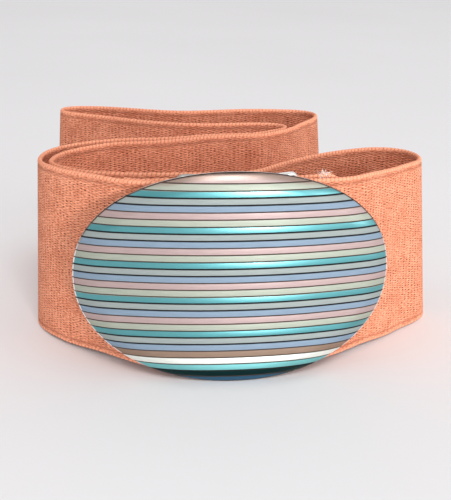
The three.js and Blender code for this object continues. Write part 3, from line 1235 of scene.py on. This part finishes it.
@dataclass(frozen=True)
class NickelFinish:
    """Nickel-plated wire and sheet, dulled in places."""

    name: str
    bright: Colour
    roughness: float = 0.18
    wear: float = 0.6
    dull: Colour = (0.46, 0.44, 0.40, 1.0)
    worn_span: Span = (0.42, 0.68)
    worn_roughness: float = 0.2
    relief: Span = (0.15, 0.04)

    def material(self, brushing: Tree) -> Material:
        """Make the finish of the loops, the pad and the hook.

        Args:
            brushing: The group of streaks and smudges.

        Returns:
            The material.
        """
        material, wiring, shader = new_material(self.name)
        grain = wiring.group(brushing)
        worn = wiring.ease(grain["Smudges"], *self.worn_span)
        wiring.feed(shader, {
            "Base Color": wiring.blend(wiring.times(worn, self.wear), self.bright, self.dull),
            "Roughness": wiring.fit(worn, self.worn_roughness, self.roughness),
            "Metallic": 1.0,
            "Normal": wiring.bump(grain["Streaks"], *self.relief),
        })
        return material


WORN_NICKEL = NickelFinish("worn_nickel", (0.50, 0.47, 0.43, 1.0), roughness=0.3)
BRIGHT_NICKEL = NickelFinish("bright_nickel", (1.0, 0.99, 0.97, 1.0), wear=0.25)


# The band


@dataclass
class Webbing:
    """The flat woven body of the band between its two whipped edges."""

    route: BandRoute
    spacing: float = 0.8
    rows: int = 22
    seat: float = 0.5
    edge_heights: tuple[float, ...] = (0.0, 0.4, 0.65, 0.85, 1.05, 1.4)
    edge_shares: tuple[float, ...] = (0.55, 0.92, 0.93, 0.93, 0.94, 0.96)
    face_share: float = 0.97
    inset: float = 1.2
    channel: float = 0.14
    channel_row: int = 3

    def half_section(self) -> tuple[Array, Array]:
        """Give one face of the section, from the bottom up.

        The face is flat, thins into the whipped edge at either end and has a
        shallow channel just inside it.

        Returns:
            Half thicknesses and heights.
        """
        width, half = self.route.layout.band.width, self.route.layout.band.thick / 2.0
        edge = np.array(self.edge_heights) + self.seat
        thin = np.array(self.edge_shares)
        thin[self.channel_row] -= self.channel / half
        first = edge[-1] + self.inset
        heights = [edge, np.linspace(first, width - first, self.rows), width - edge[::-1]]
        shares = [thin, np.full(self.rows, self.face_share), thin[::-1]]
        return half * np.concatenate(shares), np.concatenate(heights)

    def shell(self) -> Shell:
        """Carry the closed section along the route and close both cut ends.

        Returns:
            The band's shell, with lengths along and up as its map.
        """
        path = self.route.sampled(self.spacing)
        half, heights = self.half_section()
        sides = np.concatenate([half, -half[::-1]])
        levels = np.concatenate([heights, heights[::-1]])
        quads = tube_quads(len(path.along), len(levels))
        return Shell(path.points(sides, levels), quads, length_pairs(path.along, levels))


@dataclass
class Selvage:
    """One long edge of the band, whipped over with thread in small loops."""

    route: BandRoute
    edge: Edge
    pitch: float = 1.2
    samples_per_loop: int = 8
    around: int = 10
    core: float = 0.47
    loop: float = 0.2
    jitter: float = 0.12
    jitter_waves: Span = (1.7, 0.53)

    def shell(self) -> Shell:
        """Carry the looped section along the edge.

        The radius is the core plus a loop's height times the root of the size
        of a sine that repeats with the pitch and leans over with the angle.

        Returns:
            The edge's shell, with the depth between loops as a trait.
        """
        path = self.route.sampled(self.pitch / self.samples_per_loop)
        reach = self.core + self.loop
        height = path.band.width - reach if self.edge is Edge.TOP else reach
        angles = ring_angles(self.around)
        phase = path.along[:, None] / self.pitch + angles / FULL_TURN
        lump = np.sqrt(np.abs(np.sin(math.pi * phase)))
        waves = np.prod([np.sin(path.along * wave) for wave in self.jitter_waves], axis=0)
        radii = self.core + self.loop * lump * (1.0 + self.jitter * waves)[:, None]
        points = path.points(radii * np.cos(angles), height + radii * np.sin(angles))
        quads, uv = tube_quads(len(points), self.around), length_pairs(path.along, angles)
        return Shell(points, quads, uv, {"hollow": (1.0 - lump).ravel()})


@dataclass
class FrayedEnd:
    """Loose fibres at the upper corner of the hooked end's cut edge."""

    route: BandRoute
    spacing: float = 0.5
    count: int = 180
    steps: int = 6
    sides: int = 4
    radius: float = 0.11
    tip_share: float = 0.4
    lengths: Span = (0.4, 1.05)
    spread_down: float = 1.6
    spread_side: float = 0.5
    below_edge: float = 0.2
    cluster_at: float = 6.4
    cluster_spread: float = 0.7
    aim_spread: float = 0.8
    onward: float = 0.4
    pull: Triple = (0.0, -0.5, 0.5)
    bend_spread: float = 1.1
    sag: Triple = (0.0, 0.0, 0.5)

    def shell(self) -> Shell:
        """Grow the fibres from random places near the corner.

        A fibre's place is its root plus its length times two terms: the share
        along it times a random direction, and half of the share's square times
        a random bend.

        Returns:
            All the fibres as one shell.
        """
        path, count = self.route.sampled(self.spacing), self.count
        draw = np.random.default_rng(SEED)
        back = np.abs(draw.normal(self.cluster_at, self.cluster_spread, count))
        at = np.interp(path.along[-1] - back, path.along, np.arange(len(path.along)))
        index = np.round(at).astype(int)
        down = draw.uniform(0.0, 1.0, count) ** 2 * self.spread_down
        side = draw.uniform(-self.spread_side, self.spread_side, (count, 1))
        plan = path.tops[index] + normals_along(path.tops)[index] * side
        level = path.lifts[index] + path.band.width - self.below_edge - down
        heading = np.append(unit_rows(path.tops[-1] - path.tops[-3]), 0.0)
        aim = draw.normal(0.0, self.aim_spread, (count, 3)) + self.onward * heading + self.pull
        bend = draw.normal(0.0, self.bend_spread, (count, 3)) - self.sag
        length = draw.uniform(*self.lengths, (count, 1, 1))
        share = np.linspace(0.0, 1.0, self.steps)[None, :, None]
        reach = share * unit_rows(aim)[:, None] + share**2 * bend[:, None] / 2.0
        taper = self.radius * np.linspace(1.0, self.tip_share, self.steps)
        root = np.column_stack([plan, level])[:, None]
        return strands(root + length * reach, taper, self.sides)


@dataclass
class FoldStitches:
    """Upright rows of thread that hold both folded-back ends."""

    route: BandRoute
    from_end: float = 3.0
    pitch: float = 2.6
    length: float = 2.1
    radius: float = 0.2
    taper: Span = (0.08, 0.92)
    depth: float = 0.15
    margin: float = 3.5
    steps: int = 7

    def shell(self) -> Shell:
        """Lay a row of stitches on both outer faces of each folded end.

        Returns:
            All the stitches as one shell.
        """
        path = self.route.sampled(FINE_STEP)
        tops, normals = path.tops, normals_along(path.tops)
        tail = int(np.searchsorted(path.along, self.from_end))
        rows = []
        for index in (tail, len(tops) - 1 - tail):
            apart = np.linalg.norm(tops - tops[index], axis=1)
            other = np.abs(path.along - path.along[index]) > 2.0 * self.pitch
            partner = int(np.argmin(np.where(other, apart, np.inf)))
            for here, there in ((index, partner), (partner, index)):
                side = math.copysign(1.0, float(normals[here] @ (tops[here] - tops[there])))
                rows.append(self.row(path, here, side))
        share = np.sin(np.linspace(*self.taper, self.steps) * math.pi)
        return strands(np.concatenate(rows), self.radius * np.sqrt(share))

    def row(self, path: BandPath, index: int, side: float) -> Array:
        """Give the stitches' middle lines on one face of one layer.

        A stitch is a straight strand up the face that dives into the cloth at
        its ends as the root of a sine.

        Args:
            path: The band's even path.
            index: The sample that the row stands on.
            side: 1 for the face to the left of travel, -1 for the other.

        Returns:
            Places in the shape stitch, step, coordinate.
        """
        band = path.band
        low = np.arange(self.margin, band.width - self.margin - self.length, self.pitch)
        share = np.linspace(0.0, 1.0, self.steps)
        heights = (low[:, None] + self.length * share).ravel()
        dive = np.tile(np.sqrt(np.abs(np.sin(share * math.pi))), len(low))
        sides = side * (band.thick / 2.0 - self.depth + self.depth * dive)
        return path.points(sides, heights)[index].reshape(len(low), self.steps, 3)


def settle(pieces: list[Piece]) -> list[Piece]:
    """Put pieces on the part's one body.

    Args:
        pieces: The pieces.

    Returns:
        The same pieces.
    """
    for piece in pieces:
        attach(piece, "root")
    return pieces


@dataclass
class ElasticBand:
    """The whole stretch band: webbing, whipped edges, fold stitches and fray."""

    route: BandRoute
    finish: ElasticFinish
    fray_white: float = 0.75
    sewing_white: float = 0.1

    def build(self, weave: Tree) -> list[Piece]:
        """Build and dress every piece of the band.

        Args:
            weave: The group of pits and ribs.

        Returns:
            The band's objects.
        """
        route, finish = self.route, self.finish
        webbing = write_object("webbing", Webbing(route).shell(), finish.webbing(weave))
        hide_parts("elastic_band")
        thread = finish.selvage()
        edges = [
            write_object(f"selvage_{edge.value}", Selvage(route, edge).shell(), thread)
            for edge in Edge
        ]
        yarn = finish.loose_thread("frayed_yarn", self.fray_white)
        fray = write_object("frayed_end", FrayedEnd(route).shell(), yarn)
        sewn = finish.loose_thread("sewing_thread", self.sewing_white)
        stitches = write_object("fold_stitches", FoldStitches(route).shell(), sewn)
        return settle([webbing, *edges, fray, stitches])


# The buckle


@dataclass
class StripedPlate:
    """Bowed oval plate with real grooves cut between its stripes."""

    form: PlateForm
    shift: Array
    first_stripe: float = 2.75
    pitch: float = 1.814
    wide_groove: float = 0.52
    fine_groove: float = 0.36
    groove_depth: float = 0.24
    wall_at: float = 0.4
    wall_depth: float = 0.9
    face_rows: int = 7
    crown: float = 0.05
    crown_power: float = 0.6
    columns: int = 141
    least_span: float = 0.6
    bevel_start: float = 0.986
    bevel: float = 0.28
    under_start: float = 0.82
    under_roll: float = 0.6
    tip: float = 0.9996
    count_gap: float = 0.001
    back_height: float = -0.5
    sharp_angle: float = 40.0

    def rows(self) -> tuple[Array, ...]:
        """Lay the rows of points over the stripes, from the top down.

        The first stripe is taller and the others are one pitch apart. Each has
        the same rows: the groove's floor, wall and lip, the crowned face, and
        the lip and wall of the next groove.

        Returns:
            Each row's height above the middle, its depth in a groove as a
            share, its rise on a stripe's crown as a share, its count of stripes
            from the top, and 1 if the nearest groove is a fine one.
        """
        number, full = len(STRIPES), self.form.height
        tops = self.first_stripe + self.pitch * (np.arange(number) - 1.0)
        tops[0] = 0.0
        span = (np.append(tops[1:], full) - tops)[:, None]
        is_wide = np.array([stripe in WIDE_GROOVED for stripe in STRIPES])
        grooves = np.where(np.append(is_wide, False), self.wide_groove, self.fine_groove)
        above, below = grooves[:-1, None], grooves[1:, None]
        lips = span - above / 2.0 - below / 2.0
        face = above / 2.0 + lips * np.linspace(0.0, 1.0, self.face_rows)
        last = span - below / 2.0 * self.wall_at
        down = np.hstack([above / 2.0 * [0.0, self.wall_at], face, last])
        flat = np.zeros(self.face_rows)
        cut = np.tile([1.0, self.wall_depth, *flat, self.wall_depth], (number, 1))
        cut[0, :2] = cut[-1, -1] = 0.0
        rise = np.sin(math.pi * down / span) ** self.crown_power
        count = np.arange(number)[:, None] + np.clip(down / span, 0.0, 1.0 - self.count_gap)
        fine = np.where(down < span / 2.0, above, below) < self.wide_groove
        heights = full / 2.0 - np.append(tops[:, None] + down, full)
        limit = full / 2.0 * self.tip
        return (
            np.clip(heights, -limit, limit),
            np.append(cut, 0.0),
            np.append(rise, 0.0),
            np.append(count, number - self.count_gap),
            np.append(fine, 1.0),
        )

    def spans(self, heights: Array) -> Array:
        """Spread each row's points across the oval.

        The half width at a height follows the oval's outline, and the outermost
        point stands on it. The next one stands where the rim's bevel starts,
        and the others are spaced by a sine, closer near the rim.

        Args:
            heights: Heights of the rows.

        Returns:
            Distances from the middle, one row for each height.
        """
        power, half = self.form.squareness, self.form.width / 2.0
        part = np.abs(heights * 2.0 / self.form.height) ** power
        outer = half * (1.0 - part) ** (1.0 / power)
        inner = half * np.clip(self.bevel_start**power - part, 0.0, None) ** (1.0 / power)
        inner = np.maximum(inner, self.least_span * outer)
        spread = np.sin(np.linspace(-1.0, 1.0, self.columns) * QUARTER_TURN)
        return np.hstack([-outer[:, None], inner[:, None] * spread, outer[:, None]])

    def shell(self) -> Shell:
        """Work out the front and back faces and join them round the rim.

        A point's depth is the bow at its distance from the middle, plus the
        rim's roll, plus the bevel, plus the groove, less the crown. Towards
        the bottom the face rolls under further, as a cube, in place of the
        bevel.

        Returns:
            The plate's shell, placed in the part's frame.
        """
        form = self.form
        heights, cut, rise, count, fine = (row[:, None] for row in self.rows())
        across = self.spans(heights[:, 0])
        rows, columns = shape = across.shape
        up = np.broadcast_to(heights, shape)
        level, power = up * 2.0 / form.height, form.squareness
        powers = np.abs(across * 2.0 / form.width) ** power + np.abs(level) ** power
        share = powers ** (1.0 / power)
        rolled, under, bevelled = (
            np.clip((share - start) / (1.0 - start), 0.0, None)
            for start in (form.rim_roll_start, self.under_start, self.bevel_start)
        )
        plain = form.bow_at(across) + form.rim_roll * rolled**2
        under, bevelled = np.minimum(under, 1.0), np.minimum(bevelled, 1.0)
        falls = np.clip(-level, 0.0, 1.0)
        front = (
            plain
            + self.bevel * bevelled * (1.0 - falls)
            + self.under_roll * under**3 * falls
            + self.groove_depth * cut
            - self.crown * rise * (1.0 - bevelled)
        )
        faces = [np.stack([across, depth, up], axis=-1) for depth in (front, plain + form.thick)]
        points = np.concatenate(faces).reshape(-1, 3)
        size = across.size
        index = np.arange(size).reshape(shape)
        around = np.concatenate([index[0], index[1:, -1], index[-1, -2::-1], index[-2:0:-1, 0]])
        following = np.roll(around, -1)
        rim = np.stack([following, following + size, around + size, around], axis=1)
        face = grid_quads(rows, columns)
        quads = np.concatenate([face, face[:, ::-1] + size, rim])
        uv = np.tile(points[:size, [0, 2]], (2, 1))
        on_front = {
            "stripe": count, "groove": cut, "fine": fine, "reach": share,
            "height": level, "bare": bevelled > 0.5,
        }
        on_back = {"groove": 0.0, "height": self.back_height, "bare": 1.0}
        traits = {}
        for name, values in on_front.items():
            sides = (values, on_back.get(name, values))
            traits[name] = np.concatenate([np.broadcast_to(side, shape).ravel() for side in sides])
        return Shell(form.placed(points, self.shift), quads, uv, traits)

    def build(self, brushing: Tree) -> list[Piece]:
        """Build and dress the plate.

        Args:
            brushing: The group of streaks and smudges.

        Returns:
            The plate's object.
        """
        plate = write_object("striped_plate", self.shell(), StripeFinish().material(brushing))
        plate.data.set_sharp_from_angle(angle=math.radians(self.sharp_angle))
        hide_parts("buckle_plate")
        return settle([plate])


@dataclass
class WireLoop:
    """Narrow upright loop of round wire with its first bar on the local Z axis."""

    layout: BuckleLayout
    span: float
    sides: int = 14
    corner_points: int = 9

    def shell(self) -> Shell:
        """Carry a round section along a rectangle with round corners.

        A point stands off the path by the wire's radius times the cosine of its
        angle outwards and the sine of it to the back.

        Returns:
            The loop's shell in its own frame.
        """
        wires = self.layout.wires
        thick = wires.wire / 2.0
        radius = wires.corner - thick
        top, right = self.layout.loop_opening / 2.0 + thick - radius, self.span - radius
        corners = np.array([[right, top], [radius, top], [radius, -top], [right, -top]])
        quarter = np.linspace(0.0, QUARTER_TURN, self.corner_points)
        turns = np.arange(4)[:, None] * QUARTER_TURN + quarter
        outward = np.stack([np.cos(turns), np.sin(turns)], axis=-1)
        path = (corners[:, None] + radius * outward).reshape(-1, 2)
        angles = ring_angles(self.sides)
        off = thick * np.cos(angles)[:, None] * outward.reshape(-1, 1, 2)
        ring = path[:, None] + off
        back = np.broadcast_to(thick * np.sin(angles), ring.shape[:2])
        points = np.stack([ring[..., 0], back, ring[..., 1]], axis=-1)
        quads = grid_quads(len(path) + 1, self.sides, closed=True) % (len(path) * self.sides)
        girth = np.linspace(0.0, math.pi * wires.wire, self.sides)
        return Shell(points, quads, length_pairs(run_lengths(path), girth))


@dataclass
class Block:
    """Upright block with rounded edges, from one depth to another.

    Attributes:
        left: Its left side.
        right: Its right side.
        front: Its front.
        back: Its back.
        height: Its height, half of it above the middle.
        soft: Rounding radius.
    """

    left: float
    right: float
    front: float
    back: float
    height: float
    soft: float = 0.18
    arc: int = 5
    pole: float = 0.02

    def shell(self) -> Shell:
        """Move each eighth of a small ball to its own corner of the block.

        A point is the core corner plus the radius times the ball's direction.

        Returns:
            The block's shell.
        """
        lower = np.array([self.left, self.front, -self.height / 2.0]) + self.soft
        upper = np.array([self.right, self.back, self.height / 2.0]) - self.soft
        rise = np.linspace(self.pole, QUARTER_TURN, self.arc)
        polar = np.concatenate([rise, math.pi - rise[::-1]])
        quarter = np.linspace(0.0, QUARTER_TURN, self.arc)
        turn = (np.arange(4)[:, None] * QUARTER_TURN + quarter).ravel()
        theta, phi = np.meshgrid(polar, turn, indexing="ij")
        across = np.sin(theta)
        direction = np.stack([across * np.cos(phi), across * np.sin(phi), np.cos(theta)], axis=-1)
        corner = np.arange(len(turn)) // self.arc
        is_high = np.empty(direction.shape, dtype=bool)
        is_high[..., 0] = np.isin(corner, (0, 3))
        is_high[..., 1] = np.isin(corner, (0, 1))
        is_high[..., 2] = (np.arange(len(polar)) < self.arc)[:, None]
        points = np.where(is_high, upper, lower) + self.soft * direction
        return Shell(points, tube_quads(*points.shape[:2]), points[..., [0, 2]].reshape(-1, 2))


@dataclass
class BuckleHardware:
    """Brazed frame behind the plate and the wire loop that its hook holds."""

    layout: BuckleLayout
    shift: Array

    def frame_shell(self) -> Shell:
        """Make the fixed loop, pad, lug, hook and hook's lip as one shell.

        Returns:
            The frame's shell in the part's frame.
        """
        layout, wires = self.layout, self.layout.wires
        loop = WireLoop(layout, wires.fixed_span).shell()
        loop.points += [wires.fixed_bar_at, layout.fixed_bar_depth, -wires.fixed_drop]
        left, right, front = layout.pad_left, layout.hook_right, layout.pad_front
        lug, bar = layout.fixed_bar_depth, wires.hooked_bar_at - wires.wire / 2.0
        lip = layout.hooked_bar_depth + wires.wire / 2.0 + wires.fit
        tip, hook = lip + wires.hook_thick, wires.hook_height
        blocks = (
            Block(left, right, front, layout.pad_back, wires.pad_height),
            Block(left + wires.wire / 3.0, left + wires.wire, front, lug, wires.lug_height),
            Block(layout.hook_left, right, front, tip, hook),
            Block(bar, right, lip, tip, hook),
        )
        joined = Shell.merged([loop, *(block.shell() for block in blocks)])
        joined.points = layout.plate.placed(joined.points, self.shift)
        return joined

    def end_loop_shell(self) -> Shell:
        """Make the end loop, swung round the bar that the hook holds.

        Returns:
            The loop's shell in the part's frame.
        """
        wires = self.layout.wires
        loop = WireLoop(self.layout, wires.hooked_span).shell()
        swing = np.array(Matrix.Rotation(math.radians(wires.hooked_turn), 3, "Z"))
        swung = loop.points @ swing.T + [wires.hooked_bar_at, self.layout.hooked_bar_depth, 0.0]
        loop.points = self.layout.plate.placed(swung, self.shift)
        return loop

    def build(self, brushing: Tree) -> list[Piece]:
        """Build and dress the frame and the end loop.

        Args:
            brushing: The group of streaks and smudges.

        Returns:
            The two objects.
        """
        worn, bright = WORN_NICKEL.material(brushing), BRIGHT_NICKEL.material(brushing)
        brazed = write_object("brazed_frame", self.frame_shell(), worn)
        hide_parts("buckle_frame")
        loop = write_object("hooked_wire_loop", self.end_loop_shell(), bright)
        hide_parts("end_loop")
        return settle([brazed, loop])


# Studio


@dataclass(frozen=True)
class Lamp:
    """One rectangular soft light.

    Attributes:
        name: The light's name.
        place: Where it hangs, in millimetres.
        size: Its width and height in millimetres.
        power: Its power in watts.
        target: The place that it faces, in millimetres.
    """

    name: str
    place: Triple
    size: Span
    power: float
    target: Triple = (0.0, 0.0, 30.0)

    def hang(self) -> None:
        """Add the light to the scene and turn it to its target."""
        data = bpy.data.lights.new(self.name, "AREA")
        data.shape = "RECTANGLE"
        data.size, data.size_y = self.size[0] * MM, self.size[1] * MM
        data.energy = self.power
        lamp = bpy.data.objects.new(self.name, data)
        bpy.context.collection.objects.link(lamp)
        lamp.location = Vector(self.place) * MM
        aim = (Vector(self.target) - Vector(self.place)).normalized()
        lamp.rotation_euler = aim.to_track_quat("-Z", "Y").to_euler()


LAMPS = (
    Lamp("front_window", (902.0, -2225.0, 135.0), (340.0, 210.0), 27.0),
    Lamp("side_window", (2150.0, -1150.0, 450.0), (1300.0, 800.0), 13.0),
    Lamp("left_fill", (-2100.0, -1260.0, 1440.0), (1800.0, 1800.0), 5.0),
    Lamp("high_key", (280.0, -1315.0, 1345.0), (700.0, 700.0), 13.0),
    Lamp("back_wall", (0.0, 1500.0, 1400.0), (2000.0, 1200.0), 3.0, (0.0, 1300.0, 0.0)),
)


@dataclass(frozen=True)
class Studio:
    """Pale floor, soft lights and the camera at the picture's angle."""

    picture_height: float = 500.0
    focal_pixels: float = 900.0
    sensor: float = 36.0
    nearest: float = 0.01
    eye: Triple = (-0.015, -265.0, 113.5)
    pitch: float = 20.2
    roll: float = 1.53
    floor_half: float = 3000.0
    floor_points: int = 9
    floor_colour: Colour = (0.86, 0.85, 0.86, 1.0)
    floor_darker: float = 0.97
    cloud: Span = (3.0, 3.0)
    cloud_span: Span = (0.3, 0.7)
    sky_left: Colour = (0.72, 0.71, 0.72, 1.0)
    sky_right: Colour = (1.0, 1.0, 1.0, 1.0)
    sky_strength: float = 0.74

    def build(self) -> None:
        """Set up floor, camera, sky and lights."""
        self.lay_floor()
        self.set_camera()
        self.set_sky()
        for lamp in LAMPS:
            lamp.hang()
        bpy.context.scene.view_settings.view_transform = "Standard"

    def lay_floor(self) -> None:
        """Lay a large pale floor at the height of the belt's lower edge."""
        count = self.floor_points
        side = np.linspace(-self.floor_half, self.floor_half, count)
        across, back = np.meshgrid(side, side)
        points = np.stack([across, back, np.zeros_like(across)], axis=-1).reshape(-1, 3)
        material, wiring, shader = new_material("floor_paper")
        place = wiring.add("ShaderNodeTexCoord").outputs["Object"]
        cloud = wiring.ease(wiring.noise(place, *self.cloud), *self.cloud_span)
        darker = (*(self.floor_darker * part for part in self.floor_colour[:3]), 1.0)
        wiring.feed(shader, {
            "Base Color": wiring.blend(cloud, self.floor_colour, darker),
            "Roughness": 0.9,
            "Specular IOR Level": 0.2,
        })
        shell = Shell(points, grid_quads(count, count), points[:, :2])
        write_object("floor", shell, material)

    def set_camera(self) -> None:
        """Place the camera, pitched down and rolled as the picture is."""
        data = bpy.data.cameras.new("camera")
        data.sensor_fit = "VERTICAL"
        data.sensor_height = self.sensor
        data.lens = self.sensor * self.focal_pixels / self.picture_height
        data.clip_start = self.nearest
        camera = bpy.data.objects.new("camera", data)
        bpy.context.collection.objects.link(camera)
        pitched = Matrix.Rotation(math.radians(90.0 - self.pitch), 4, "X")
        rolled = Matrix.Rotation(math.radians(self.roll), 4, "Z")
        camera.matrix_world = Matrix.Translation(Vector(self.eye) * MM) @ pitched @ rolled
        bpy.context.scene.camera = camera

    def set_sky(self) -> None:
        """Give the world a soft pale colour, dimmer towards the left."""
        world = bpy.data.worlds.new("soft_sky")
        world.use_nodes = True
        wiring = Wiring(world.node_tree)
        look = wiring.add("ShaderNodeTexCoord").outputs["Generated"]
        across = wiring.add("ShaderNodeSeparateXYZ", {"Vector": look}).outputs["X"]
        colour = wiring.blend(wiring.ease(across, -1.0, 1.0), self.sky_left, self.sky_right)
        sky = world.node_tree.nodes["Background"].inputs
        wiring.feed(sky, {"Color": colour, "Strength": self.sky_strength})
        bpy.context.scene.world = world


def fitted_route(layout: BuckleLayout) -> BandRoute:
    """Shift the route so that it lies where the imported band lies.

    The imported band's middle in X and its rearmost line in Y fix the shift.

    Args:
        layout: Sizes of plate, wires and band.

    Returns:
        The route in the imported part's frame.
    """
    low, high = (np.array(corner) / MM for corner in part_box("elastic_band"))
    route, half, width = BandRoute(layout), layout.band.thick / 2.0, layout.band.width
    sides, heights = np.array([-half, half, -half, half]), np.array([0.0, 0.0, width, width])
    own = route.sampled(FINE_STEP).points(sides, heights).reshape(-1, 3)
    across = (low[0] + high[0]) / 2.0 - (own[:, 0].min() + own[:, 0].max()) / 2.0
    route.shift = np.array([across, high[1] - own[:, 1].max()])
    LOG.info("route shifted by %.4f, %.4f mm", *route.shift)
    return route


def main() -> None:
    """Build the belt's pieces in order and report each one."""
    logging.basicConfig(level=logging.INFO, format="%(name)s: %(message)s")
    layout = BuckleLayout()
    route = fitted_route(layout)
    weave, brushing = KnitPattern().group(), Brushing().group()
    Studio().build()

    pieces = ElasticBand(route, ElasticFinish()).build(weave)
    pieces += StripedPlate(layout.plate, route.shift).build(brushing)
    pieces += BuckleHardware(layout, route.shift).build(brushing)
    for piece in pieces:
        LOG.info("%s: %d faces", piece.name, len(piece.data.polygons))


if __name__ == "__main__":
    main()
